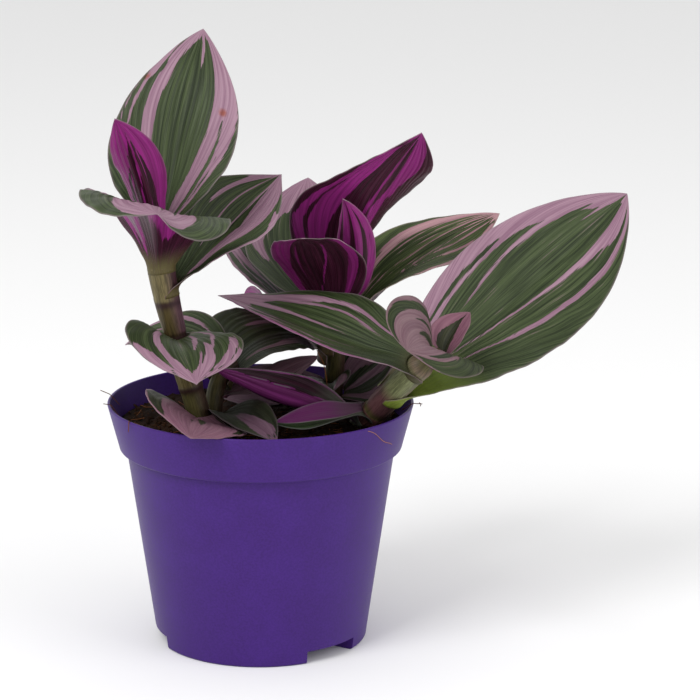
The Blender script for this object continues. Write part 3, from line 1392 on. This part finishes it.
LEAVES = (
    Leaf(
        "left_top", "left", up=0.98, heading=74, rise=64, length=82.5, width=52, widest=0.4,
        taper=0.93, arch=-13, late=1.5, sweep=-10, roll=-3, twist=10,
        fold=(32, 5), curl=(-6, -14), nest=0, wrap=50, sheath=0,
        paint=Paint(ground=0.12, tip=0.955, fan=1.8, rust=((0.73, 0.93, 1.1),
                    (0.62, -0.72, 1.5)), stripes=(
            Stripe(((0.1, -0.42, 0.3), (0.3, -0.62, 0.27), (0.5, -0.73, 0.24), (0.75, -0.8, 0.23),
                    (1, -0.9, 0.3))),
            Stripe(((0.1, -0.52, 0.05), (0.35, -0.64, 0.05), (0.62, -0.74, 0)), GREEN),
            Stripe(((0.1, -0.6, 0.012), (0.3, -0.72, 0.012), (0.5, -0.8, 0)), GREEN),
            Stripe(((0.1, -0.8, 0.1), (0.35, -0.92, 0.09), (0.6, -0.99, 0)), GREEN),
            Stripe(((0.4, 0.45, 0.06), (0.55, 0.52, 0.08), (0.7, 0.58, 0.1), (0.85, 0.6, 0.17),
                    (0.95, 0.6, 0.3))),
            Stripe(((0.7, 0.4, 0.02), (0.85, 0.48, 0.03), (0.94, 0.5, 0)), GREEN),
            Stripe(((0.1, 0.4, 0.01), (0.45, 0.78, 0.012), (0.6, 0.84, 0.015), (0.72, 0.88, 0.03),
                    (0.8, 0.92, 0.1), (0.9, 0.97, 0.1))),
            Stripe(((0.45, 0.93, 0.008), (0.7, 0.97, 0.01))),
            Stripe(((0.78, 0.68, 0), (0.85, 0.78, 0.03), (0.92, 0.93, 0.03), (0.96, 1, 0.03)), GREEN),
            Stripe(((0.8, -0.18, 0), (0.9, -0.24, 0.06), (1, -0.3, 0.12))),
        )),
    ),
    Leaf(
        "left_young", "left", up=0.94, heading=-109, rise=75, length=57.5, width=24.5, widest=0.41,
        taper=1, arch=17, late=1.3, sweep=-16, roll=19, twist=2,
        fold=(70, 22), curl=(-3, 0), nest=0, wrap=60, sheath=0, young=True,
        paint=Paint(ground=0.92, tip=0.99, fan=0.9, stripes=(
            Stripe(((0, -0.2, 0.75), (0.3, -0.15, 0.6), (0.5, -0.06, 0.42), (0.7, 0.06, 0.2),
                    (0.88, 0.16, 0)), GREEN),
            Stripe(((0.1, -0.5, 0.04), (0.4, -0.4, 0.05), (0.62, -0.22, 0.03)), 0.8),
            Stripe(((0.2, -0.1, 0.02), (0.6, 0.02, 0.045), (0.82, 0.14, 0.03)), 0.9),
            Stripe(((0.3, 0.16, 0.015), (0.7, 0.2, 0.03)), 0.9),
        )),
    ),
    Leaf(
        "left_arched", "left", up=0.82, heading=-97, rise=83, length=77.5, width=57.5, widest=0.42,
        taper=0.95, arch=84, late=0.6, sweep=31, roll=-4, twist=-6,
        fold=(44, -18), curl=(-12, -35), nest=1, wrap=120, sheath=1,
        paint=Paint(ground=0.16, tip=0.94, fan=0.8, husk="625c36", sheath_reach=0.11, stripes=(
            Stripe(((0.15, -0.5, 0.1), (0.3, -0.6, 0.25), (0.42, -0.7, 0.25)), 1.9, soft=0.3),
            Stripe(((0.22, 0.2, 0.12), (0.35, 0.25, 0.25), (0.55, 0.1, 0.3)), 0.85, soft=0.3),
            Stripe(((0.55, 0, 0.08), (0.68, 0, 0.3), (0.8, 0.05, 0.5), (0.95, 0, 0.8))),
            Stripe(((0.45, -0.45, 0.05), (0.6, -0.46, 0.1), (0.8, -0.5, 0.2), (0.93, -0.5, 0.6))),
            Stripe(((0.4, 0.4, 0.08), (0.6, 0.48, 0.14), (0.75, 0.55, 0.14), (0.9, 0.6, 0.3))),
            Stripe(((0.5, 0.1, 0.06), (0.75, 0.15, 0.05), (0.82, 0.18, 0)), GREEN),
            Stripe(((0.4, -0.82, 0.1), (0.7, -0.9, 0.12), (0.9, -0.95, 0.05)), GREEN),
            Stripe(((0.4, 0.85, 0.1), (0.7, 0.9, 0.12), (0.9, 0.95, 0.05)), GREEN),
        )),
    ),
    Leaf(
        "left_side", "left", up=0.7, heading=38, rise=40, length=62.5, width=46.5, widest=0.46,
        taper=1.14, arch=-6, late=1.4, sweep=-6, roll=24, twist=9,
        fold=(56, 14), curl=(-8, 9), nest=0.4, wrap=130, sheath=1,
        paint=Paint(ground=0.12, tip=0.965, fan=1.2, stripes=(
            Stripe(((0.15, -0.1, 0.12), (0.4, -0.25, 0.2), (0.6, -0.35, 0.23), (0.7, -0.38, 0.3),
                    (0.85, -0.42, 0.4), (1, -0.45, 0.6))),
            Stripe(((0.45, -0.03, 0.03), (0.58, -0.1, 0.06), (0.7, -0.1, 0)), GREEN),
            Stripe(((0.2, -1, 0.06), (0.6, -1, 0.07), (0.75, -0.95, 0.12))),
            Stripe(((0.6, 0.6, 0.03), (0.8, 0.7, 0.07), (0.93, 0.8, 0.2))),
            Stripe(((0.5, 0.04, 0.015), (0.75, 0.03, 0.02), (0.95, 0.03, 0.04))),
            Stripe(((0.3, 0.2, 0.015), (0.7, 0.36, 0.02), (0.95, 0.4, 0.03)), 0.8),
        )),
    ),
    Leaf(
        "left_low", "left", up=0.47, heading=-84, rise=17, length=42.5, width=46, widest=0.41,
        taper=1.25, arch=51, late=1.1, sweep=23, roll=-9, twist=1,
        fold=(29, 3), curl=(-8, -23), nest=0.5, wrap=165, sheath=2,
        paint=Paint(ground=0.2, tip=0.9, fan=0.9, stripes=(
            Stripe(((0.25, -0.45, 0.05), (0.5, -0.48, 0.07), (0.65, -0.45, 0.09), (0.8, -0.42, 0.2),
                    (0.92, -0.35, 0.45))),
            Stripe(((0.6, -0.92, 0.06), (0.7, -0.85, 0.13), (0.85, -0.85, 0.2))),
            Stripe(((0.4, 0.4, 0.04), (0.6, 0.46, 0.1), (0.75, 0.5, 0.15), (0.85, 0.4, 0.3),
                    (0.95, 0.3, 0.6))),
            Stripe(((0.35, 0.85, 0.05), (0.6, 0.8, 0.08), (0.75, 0.78, 0.06))),
            Stripe(((0.5, 0.97, 0.04), (0.75, 0.95, 0.07), (0.85, 0.9, 0.2))),
            Stripe(((0.12, 0.35, 0.02), (0.3, 0.26, 0.04), (0.5, 0.18, 0.02))),
            Stripe(((0.1, 0.75, 0.03), (0.3, 0.55, 0.03), (0.45, 0.48, 0.02))),
            Stripe(((0.6, 0.3, 0.015), (0.75, 0.28, 0.02))),
        )),
    ),
    Leaf(
        "rim", "left", up=0.06, heading=-95, rise=21, length=51.5, width=42, widest=0.38,
        taper=0.95, arch=22, late=1.3, sweep=20, roll=-25, twist=6,
        fold=(15, 11), curl=(-6, -13), nest=0, wrap=90, sheath=0,
        paint=Paint(ground=0.9, tip=0.97, fan=0.8, tint=(0.72, 0.6, 0.62), stripes=(
            Stripe(((0, -0.8, 0.15), (0.5, -0.82, 0.14), (0.7, -0.86, 0.1), (0.8, -0.92, 0)), GREEN),
            Stripe(((0.2, 0.15, 0.08), (0.5, 0.18, 0.06), (0.64, 0.2, 0)), GREEN),
            Stripe(((0.4, -0.02, 0.015), (0.78, 0, 0)), GREEN),
            Stripe(((0.1, 0.88, 0.05), (0.5, 0.9, 0.05), (0.66, 0.92, 0)), GREEN),
        )),
    ),
    Leaf(
        "inner_back", "inner", up=0.95, heading=161, rise=27, length=45.5, width=29, widest=0.4,
        taper=0.96, arch=57, late=1.4, sweep=10, roll=-13, twist=-1,
        fold=(35, 7), curl=(4, 0), nest=0.2, wrap=110, sheath=3,
        paint=Paint(ground=0.2, tip=0.92, fan=1, stripes=(
            Stripe(((0.2, -0.5, 0.03), (0.35, -0.64, 0.04), (0.5, -0.75, 0.06), (0.8, -0.85, 0.14))),
            Stripe(((0.5, -0.3, 0.015), (0.8, -0.35, 0.03))),
            Stripe(((0.3, 0.5, 0.05), (0.6, 0.6, 0.1), (0.85, 0.55, 0.3))),
        )),
    ),
    Leaf(
        "inner_side", "inner", up=0.79, heading=70, rise=33, length=62.5, width=42.5, widest=0.4,
        taper=0.98, arch=71, late=1.5, sweep=-53, roll=-3, twist=15,
        fold=(15, -3), curl=(5, 0), nest=1.1, wrap=120, sheath=5,
        paint=Paint(ground=0.06, tip=0.93, fan=1, tint=(0.6, 0.58, 0.52), stripes=(
            Stripe(((0.15, -0.42, 0.03), (0.4, -0.55, 0.08), (0.6, -0.55, 0.17), (0.75, -0.6, 0.3),
                    (0.9, -0.5, 0.6))),
            Stripe(((0.5, 0.4, 0.03), (0.75, 0.5, 0.1), (0.9, 0.5, 0.4))),
        )),
    ),
    Leaf(
        "floor", "inner", up=0.06, heading=-63, rise=23, length=51.5, width=21.5, widest=0.41,
        taper=0.98, arch=50, late=1.6, sweep=0, roll=0, twist=15,
        fold=(35, -5), curl=(4, -7), nest=0, wrap=60, sheath=0,
        paint=Paint(ground=0.12, tip=0.95, fan=0.7, tint=(0.36, 0.33, 0.36), stripes=(
            Stripe(((0.4, 0, 0.15), (0.7, -0.1, 0.4), (0.9, -0.1, 0.8))),
        )),
    ),
    Leaf(
        "brown", "inner", up=0.39, heading=20, rise=17, length=40.5, width=15, widest=0.51,
        taper=0.81, arch=-7, late=1.4, sweep=2, roll=14, twist=7,
        fold=(24, 1), curl=(-11, 3), nest=0.2, wrap=70, sheath=0,
        paint=Paint(ground=0.8, tip=0.97, fan=0.5, tint=(0.42, 0.38, 0.36)),
    ),
    Leaf(
        "middle_tall", "middle", up=0.87, heading=-45, rise=86, length=93.5, width=58, widest=0.43,
        taper=1, arch=48, late=0.9, sweep=5, roll=-13, twist=3,
        fold=(61, -6), curl=(-8, -5), nest=1, wrap=80, sheath=3, young=True,
        paint=Paint(ground=0.1, tip=0.97, fan=0.9, stripes=(
            Stripe(((0.1, -0.6, 0.2), (0.35, -0.72, 0.25), (0.55, -0.65, 0.22), (0.75, -0.6, 0.22),
                    (0.9, -0.75, 0.3))),
            Stripe(((0.1, -0.65, 0.02), (0.4, -0.78, 0.03), (0.7, -0.72, 0.02)), GREEN),
            Stripe(((0.1, 0.1, 0.08), (0.5, 0.12, 0.12), (0.65, 0.4, 0.17), (0.8, 0.5, 0.23),
                    (0.92, 0.55, 0.3), (1, 0.5, 0.6))),
            Stripe(((0.3, -0.14, 0.02), (0.6, -0.02, 0.03), (0.8, 0.07, 0.035),
                    (0.95, 0.08, 0.04)), 0.8),
            Stripe(((0.4, 0.6, 0.05), (0.62, 0.68, 0.03), (0.75, 0.7, 0)), GREEN),
        )),
    ),
    Leaf(
        "middle_cupped", "middle", up=0.92, heading=-120, rise=61, length=58, width=38, widest=0.45,
        taper=1.08, arch=48, late=1.5, sweep=15, roll=3, twist=17,
        fold=(11, 10), curl=(-1, -9), nest=0, wrap=80, sheath=2, young=True,
        paint=Paint(ground=0.1, tip=0.99, fan=0.7, tint=(0.9, 0.86, 0.88), stripes=(
            Stripe(((0.1, -0.85, 0.12), (0.4, -0.9, 0.25), (0.6, -0.82, 0.28), (0.8, -0.78, 0.28),
                    (0.92, -0.85, 0.2))),
            Stripe(((0.15, -0.1, 0.015), (0.5, 0.2, 0.025), (0.72, 0.35, 0.03)), 0.85),
            Stripe(((0.15, 0.6, 0.06), (0.4, 0.7, 0.1), (0.6, 0.88, 0.1), (0.8, 0.95, 0.1))),
            Stripe(((0.2, -0.42, 0.015), (0.7, -0.4, 0.02)), 0.7),
        )),
    ),
    Leaf(
        "middle_folded", "middle", up=0.92, heading=-52, rise=62, length=62.5, width=18, widest=0.39,
        taper=1.02, arch=19, late=1.2, sweep=-35, roll=-24, twist=-20,
        fold=(22, 41), curl=(-8, 0), nest=0, wrap=50, sheath=0, young=True,
        paint=Paint(ground=0.74, tip=0.97, fan=0.8, tint=(1.0, 1.1, 1.0), stripes=(
            Stripe(((0, -0.12, 0.16), (0.5, -0.12, 0.12), (0.95, -0.05, 0.05)), GREEN),
            Stripe(((0, -0.6, 0.14), (0.5, -0.7, 0.1), (0.9, -0.75, 0.04)), GREEN),
            Stripe(((0, 0.4, 0.12), (0.6, 0.45, 0.1), (0.9, 0.4, 0.03)), GREEN),
        )),
    ),
    Leaf(
        "middle_right", "middle", up=0.7, heading=26, rise=48, length=78, width=40.5, widest=0.42,
        taper=0.93, arch=28, late=1.1, sweep=-15, roll=3, twist=19,
        fold=(39, -1), curl=(3, -14), nest=1.6, wrap=120, sheath=4,
        paint=Paint(ground=0.16, tip=0.95, fan=1.6, drift=0.2, tint=(1.38, 1.35, 1.1), stripes=(
            Stripe(((0.3, 0.5, 0.03), (0.5, 0.66, 0.08), (0.65, 0.72, 0.1), (0.8, 0.8, 0.13),
                    (0.95, 0.8, 0.3))),
            *(Stripe(((0.2, 0.25 + 0.02 * i, 0.006), (0.5, 0.06 + 0.11 * i, 0.008),
                      (0.8, 0.04 + 0.14 * i, 0.012), (0.95, 0.05 + 0.16 * i, 0.03))) for i in range(5)),
            Stripe(((0.4, 0, 0.01), (0.5, -0.3, 0.012), (0.6, -0.5, 0.02), (0.75, -0.68, 0.03))),
            Stripe(((0.42, 0.05, 0.008), (0.55, -0.18, 0.01), (0.7, -0.35, 0.014), (0.9, -0.4, 0.03))),
            Stripe(((0.5, -0.05, 0.008), (0.7, -0.15, 0.01), (0.9, -0.16, 0.02))),
            Stripe(((0.4, -0.95, 0.05), (0.7, -0.95, 0.06), (0.9, -0.9, 0.2))),
        )),
    ),
    Leaf(
        "middle_left", "middle", up=0.57, heading=142, rise=37, length=69, width=32.5, widest=0.39,
        taper=0.85, arch=17, late=1.3, sweep=-15, roll=-8, twist=10,
        fold=(28, -8), curl=(2, -5), nest=2.3, wrap=120, sheath=4,
        paint=Paint(ground=0.26, tip=0.92, fan=1.2, stripes=(
            Stripe(((0.35, 0.4, 0.03), (0.55, 0.42, 0.05), (0.7, 0.4, 0.12), (0.85, 0.4, 0.2))),
            Stripe(((0.4, 0.7, 0.015), (0.7, 0.62, 0.03), (0.85, 0.66, 0.06))),
            Stripe(((0.3, -0.4, 0.03), (0.6, -0.5, 0.08), (0.85, -0.5, 0.3))),
            Stripe(((0.3, 0.97, 0.04), (0.8, 0.97, 0.06))),
        )),
    ),
    Leaf(
        "middle_under", "middle", up=0.46, heading=150, rise=28, length=47, width=31, widest=0.29,
        taper=0.81, arch=9, late=1.4, sweep=-32, roll=17, twist=17,
        fold=(3, 27), curl=(-11, 6), nest=2.6, wrap=90, sheath=4, young=True,
        paint=Paint(ground=0.3, tip=1.1, fan=0.8, stripes=(
            Stripe(((0.3, 0, 1.5), (1, 0, 1.5))),
        )),
    ),
    Leaf(
        "middle_back", "middle", up=0.8, heading=122, rise=29, length=78.5, width=49.5, widest=0.41,
        taper=0.92, arch=0, late=1.9, sweep=-41, roll=-25, twist=-11,
        fold=(38, 20), curl=(8, -17), nest=1, wrap=70, sheath=3,
        paint=Paint(ground=0.2, tip=0.86, fan=1, stripes=(
            Stripe(((0.4, 0.7, 0.05), (0.55, 0.82, 0.12), (0.7, 0.72, 0.2), (0.85, 0.6, 0.45))),
            Stripe(((0.3, -0.6, 0.06), (0.6, -0.65, 0.15), (0.85, -0.6, 0.4))),
            Stripe(((0.5, 0.1, 0.02), (0.8, 0.1, 0.06))),
        )),
    ),
    Leaf(
        "grey", "middle", up=0.07, heading=196, rise=3, length=45, width=20, widest=0.49,
        taper=0.89, arch=11, late=1.2, sweep=-2, roll=-39, twist=-10,
        fold=(31, 6), curl=(-2, 1), nest=0, wrap=60, sheath=0,
        paint=Paint(ground=0.86, tip=0.97, fan=0.5, tint=(0.8, 0.86, 0.84), stripes=(
            Stripe(((0, 0, 0.3), (0.3, 0, 0.15), (0.5, 0, 0)), GREEN),
        )),
    ),
    Leaf(
        "small", "middle", up=0.14, heading=259, rise=17, length=16, width=20, widest=0.42,
        taper=1.06, arch=32, late=1.3, sweep=24, roll=12, twist=4,
        fold=(35, 11), curl=(2, -2), nest=0, wrap=60, sheath=0,
        paint=Paint(ground=0.3, tip=0.97, fan=0.5, tint=(0.6, 0.56, 0.56), stripes=(
            Stripe(((0.3, 0.6, 0.1), (0.9, 0.6, 0.4))),
        )),
    ),
    Leaf(
        "striped", "middle", up=0.01, heading=3, rise=46, length=28, width=45.5, widest=0.4,
        taper=0.99, arch=15, late=1.2, sweep=4, roll=37, twist=-3,
        fold=(8, 8), curl=(4, -3), nest=0, wrap=90, sheath=0,
        paint=Paint(ground=0.8, tip=0.95, fan=0.7, tint=(0.62, 0.6, 0.6), stripes=(
            Stripe(((0, -0.3, 0.14), (0.5, -0.42, 0.12), (0.75, -0.48, 0.04)), GREEN),
            Stripe(((0, 0.12, 0.08), (0.4, 0.03, 0.08), (0.7, -0.1, 0.03)), GREEN),
            Stripe(((0, 0.6, 0.14), (0.5, 0.6, 0.12), (0.8, 0.5, 0.03)), GREEN),
            Stripe(((0, -0.85, 0.1), (0.6, -0.85, 0.08)), GREEN),
        )),
    ),
    Leaf(
        "right_long", "right", up=0.72, heading=164, rise=14, length=80.5, width=47, widest=0.39,
        taper=0.96, arch=4, late=1.7, sweep=-11, roll=-24, twist=27,
        fold=(27, 16), curl=(-7, 1), nest=0.8, wrap=140, sheath=1,
        paint=Paint(ground=0.14, tip=0.9, fan=1.4, husk="4a4a30", stripes=(
            Stripe(((0.15, -0.55, 0.008), (0.4, -0.72, 0.03), (0.55, -0.74, 0.07), (0.7, -0.7, 0.15),
                    (0.85, -0.45, 0.42), (0.95, -0.2, 0.8))),
            Stripe(((0.15, -0.38, 0.006), (0.4, -0.55, 0.012), (0.55, -0.58, 0.02),
                    (0.65, -0.58, 0.03))),
            Stripe(((0.2, -0.1, 0.005), (0.45, -0.18, 0.014), (0.6, -0.22, 0.03), (0.8, -0.25, 0.1))),
            Stripe(((0.25, 0.3, 0.008), (0.5, 0.42, 0.02), (0.7, 0.46, 0.05), (0.85, 0.45, 0.25))),
            Stripe(((0.25, 0.66, 0.01), (0.5, 0.78, 0.02), (0.75, 0.82, 0.06), (0.9, 0.8, 0.2))),
            Stripe(((0.6, -0.42, 0.12), (0.72, -0.4, 0.05), (0.8, -0.38, 0)), GREEN),
            Stripe(((0.45, -1, 0.12), (0.6, -1, 0.11), (0.76, -1, 0.02)), GREEN),
            Stripe(((0.15, 0.99, 0.05), (0.5, 0.99, 0.06), (0.88, 0.98, 0.08)), FLUSHED),
        )),
    ),
    Leaf(
        "right_large", "right", up=0.4, heading=22, rise=35, length=128.5, width=56.5, widest=0.45,
        taper=0.9, arch=15, late=0.7, sweep=10, roll=41, twist=23,
        fold=(25, 8), curl=(-9, 0), nest=0.3, wrap=140, sheath=2,
        paint=Paint(ground=0.16, tip=0.975, fan=2, drift=0.1, husk="7d9236", sheath_reach=0.17, stripes=(
            Stripe(((0.15, -0.2, 0.008), (0.35, -0.46, 0.02), (0.5, -0.57, 0.03),
                    (0.65, -0.65, 0.045), (0.8, -0.75, 0.06), (0.9, -0.86, 0.07), (1, -0.95, 0.15))),
            Stripe(((0.15, 0.03, 0.006), (0.35, -0.1, 0.018), (0.5, -0.2, 0.028),
                    (0.65, -0.27, 0.045), (0.8, -0.36, 0.09), (0.88, -0.44, 0.15), (1, -0.55, 0.3))),
            Stripe(((0.05, 0.8, 0.3), (0.3, 0.86, 0.2), (0.5, 0.9, 0.16), (0.65, 0.9, 0.14),
                    (0.8, 0.84, 0.2), (0.9, 0.72, 0.3), (1, 0.6, 0.6))),
            Stripe(((0.3, 0.44, 0.006), (0.5, 0.58, 0.014), (0.65, 0.65, 0.035), (0.8, 0.68, 0.06))),
            Stripe(((0.05, 0.66, 0.03), (0.3, 0.74, 0.03), (0.5, 0.8, 0.02), (0.62, 0.84, 0)), GREEN),
            Stripe(((0.65, 0.53, 0.08), (0.8, 0.57, 0.05), (0.9, 0.62, 0)), GREEN),
            Stripe(((0.78, 0.32, 0), (0.88, 0.34, 0.03), (0.97, 0.36, 0.1))),
            Stripe(((0.76, -0.6, 0.09), (0.86, -0.66, 0.06), (0.93, -0.74, 0)), GREEN),
        )),
    ),
    Leaf(
        "right_curled", "right", up=0.93, heading=-92, rise=37, length=39, width=44.5, widest=0.45,
        taper=0.95, arch=54, late=1.5, sweep=6, roll=-50, twist=9,
        fold=(49, -1), curl=(-15, -24), nest=0, wrap=100, sheath=2,
        paint=Paint(ground=0.85, tip=0.95, fan=1, tint=(0.6, 0.6, 0.52), stripes=(
            Stripe(((0.05, 0.72, 0.45), (0.5, 0.75, 0.4), (0.8, 0.75, 0.3), (0.95, 0.7, 0.1)), GREEN),
            Stripe(((0.1, -0.78, 0.1), (0.4, -0.8, 0.09), (0.6, -0.85, 0.09),
                    (0.88, -0.9, 0.08)), GREEN),
            Stripe(((0.02, -0.15, 0.16), (0.35, -0.2, 0.1), (0.6, -0.22, 0)), GREEN),
            Stripe(((0.05, -0.45, 0.05), (0.3, -0.5, 0.04), (0.5, -0.52, 0)), GREEN),
            Stripe(((0.3, 0.5, 0.02), (0.7, 0.55, 0.05), (0.9, 0.5, 0.1))),
        )),
    ),
    Leaf(
        "right_bud", "right", up=0.94, heading=50, rise=60, length=20.5, width=16.5, widest=0.41,
        taper=0.93, arch=27, late=1.5, sweep=-21, roll=10, twist=-12,
        fold=(27, 16), curl=(-3, 0), nest=0, wrap=60, sheath=0,
        paint=Paint(ground=0.9, tip=0.97, fan=0.5, tint=(0.66, 0.5, 0.52), stripes=(
            Stripe(((0, 0.1, 0.6), (0.3, 0.1, 0.42), (0.6, 0.08, 0.25), (0.88, 0.05, 0.03)), GREEN),
        )),
    ),
    Leaf(
        "folded", "right", up=0.01, heading=199, rise=14, length=60.5, width=26.5, widest=0.42,
        taper=1.08, arch=-27, late=1.4, sweep=3, roll=33, twist=10,
        fold=(48, 25), curl=(1, 11), nest=0, wrap=110, sheath=0, young=True,
        paint=Paint(ground=0.06, tip=0.97, fan=0.7, tint=(0.66, 1.2, 0.76), husk="564448", sheath_reach=0.3,
                    stripes=(
            Stripe(((0.1, 0.2, 0.26), (0.5, 0.22, 0.27), (0.8, 0.25, 0.36),
                    (1, 0.3, 0.7)), 0.85, soft=0.15),
            Stripe(((0.1, 0.5, 0.012), (0.5, 0.53, 0.016), (0.75, 0.6, 0.016)), 2.2, soft=0.01),
            Stripe(((0.15, -0.65, 0.3), (0.6, -0.6, 0.42), (0.95, -0.6, 0.6)), 0.8, soft=0.25),
            Stripe(((0.25, -0.8, 0.05), (0.5, -0.85, 0.05), (0.7, -0.9, 0)), GREEN),
            Stripe(((0.1, 0.97, 0.03), (0.95, 0.97, 0.04))),
        )),
    ),
    Leaf(
        "crumpled", "right", up=0.14, heading=211, rise=-6, length=40, width=15, widest=0.42,
        taper=0.9, arch=-14, late=1, sweep=-6, roll=-24, twist=-4,
        fold=(50, 14), curl=(2, 2), nest=0, wrap=60, sheath=0,
        paint=Paint(ground=0.15, tip=1.1, fan=0.5, tint=(0.52, 0.68, 0.6), husk="5f574d", sheath_reach=0.3,
                    stripes=(
            Stripe(((0, -0.6, 0.6), (0.5, -0.55, 0.55), (1, -0.6, 0.6)), FLUSHED),
        )),
    ),
)


# ---------------------------------------------------------------------------------------------
# Stage and order of work
# ---------------------------------------------------------------------------------------------


@dataclass(frozen=True)
class Studio:
    """The plain floor, the soft lights and the camera at the photograph's viewing angle."""

    eye: Point = (34.9, -944.0, 339.2)
    aim: Point = (34.9, 0.0, 116.1)
    roll: float = 0.25  # degrees
    lens: float = 127.7
    sensor: float = 36.0
    clip: tuple[float, float] = (0.05, 20.0)  # metres
    floor_radius: float = 6000.0
    sky: float = 0.85  # how bright the white all round is

    def camera(self) -> None:
        """Makes the camera and gives it to the scene."""
        data = bpy.data.cameras.new("camera")
        data.lens = self.lens
        data.sensor_width = self.sensor
        data.clip_start, data.clip_end = self.clip
        camera = bpy.data.objects.new("camera", data)
        bpy.context.scene.collection.objects.link(camera)
        eye, aim = Vector(self.eye) * MM, Vector(self.aim) * MM
        look = (aim - eye).to_track_quat("-Z", "Y").to_matrix().to_4x4()
        lean = Matrix.Rotation(math.radians(self.roll), 4, "Z")
        camera.matrix_world = Matrix.Translation(eye) @ look @ lean
        bpy.context.scene.camera = camera

    def light(self, name: str, spot: Point, aim: Point, size: float, power: float) -> None:
        """Adds a soft square light.

        Args:
            name: its name.
            spot: where it stands, in metres.
            aim: what it is aimed at, in metres.
            size: the length of its sides, in metres.
            power: its power in watts.
        """
        data = bpy.data.lights.new(name, "AREA")
        data.size = size
        data.energy = power
        lamp = bpy.data.objects.new(name, data)
        bpy.context.scene.collection.objects.link(lamp)
        turned = (Vector(aim) - Vector(spot)).to_track_quat("-Z", "Y").to_matrix().to_4x4()
        lamp.matrix_world = Matrix.Translation(spot) @ turned

    def build(self) -> None:
        """Makes the whole stage."""
        self.camera()
        mesh = bmesh.new()
        bmesh.ops.create_circle(mesh, cap_ends=True, segments=96, radius=self.floor_radius)
        floor = to_object("floor", mesh, [])
        paper = bpy.data.materials.new("pale floor")
        paper.use_nodes = True
        shader = paper.node_tree.nodes["Principled BSDF"]
        shader.inputs["Base Color"].default_value = (0.86, 0.86, 0.86, 1)
        shader.inputs["Roughness"].default_value = 0.9
        floor.data.materials.append(paper)
        world = bpy.data.worlds.new("studio")
        world.use_nodes = True
        backdrop = world.node_tree.nodes["Background"]
        backdrop.inputs["Color"].default_value = (1, 1, 1, 1)
        backdrop.inputs["Strength"].default_value = self.sky
        bpy.context.scene.world = world
        bpy.context.scene.view_settings.view_transform = "Standard"
        self.light("key", (-0.9, -1.1, 1.5), (0, 0, 0.12), 0.9, 22)
        self.light("fill", (1.3, -0.7, 0.7), (0, 0, 0.12), 1.1, 8)


def main() -> None:
    """Builds every piece in order."""
    logging.basicConfig(level=logging.INFO, format="%(name)s: %(message)s")
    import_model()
    Studio().build()
    effects = Effects()
    pot, soil = Pot(), Soil()
    settle(pot.build(POT_PLASTIC.make(effects)), "pot", "pot")
    settle(soil.build(pot, SOIL_MIX.make(effects)), "soil", "soil")
    settle(soil.crumbs(CRUMB.make(effects)), "soil")
    settle(soil.fibres(COIR.make(effects)), "soil")
    settle(Hair().build(pot, HAIR.make(effects)), "pot")
    skin = STEM_SKIN.make(effects)
    for stem in STEMS:
        settle(stem.build(skin), "stem", f"stem_{stem.name}")
    foliage = Foliage({stem.name: stem for stem in STEMS}, LEAF_TOP.make(effects), LEAF_UNDER.make(effects))
    for seed, leaf in enumerate(LEAVES, start=1):
        slot = "young_leaf" if leaf.young else "leaf"
        settle(foliage.build(leaf, seed), slot, f"leaf_{leaf.name}")


if __name__ == "__main__":
    main()
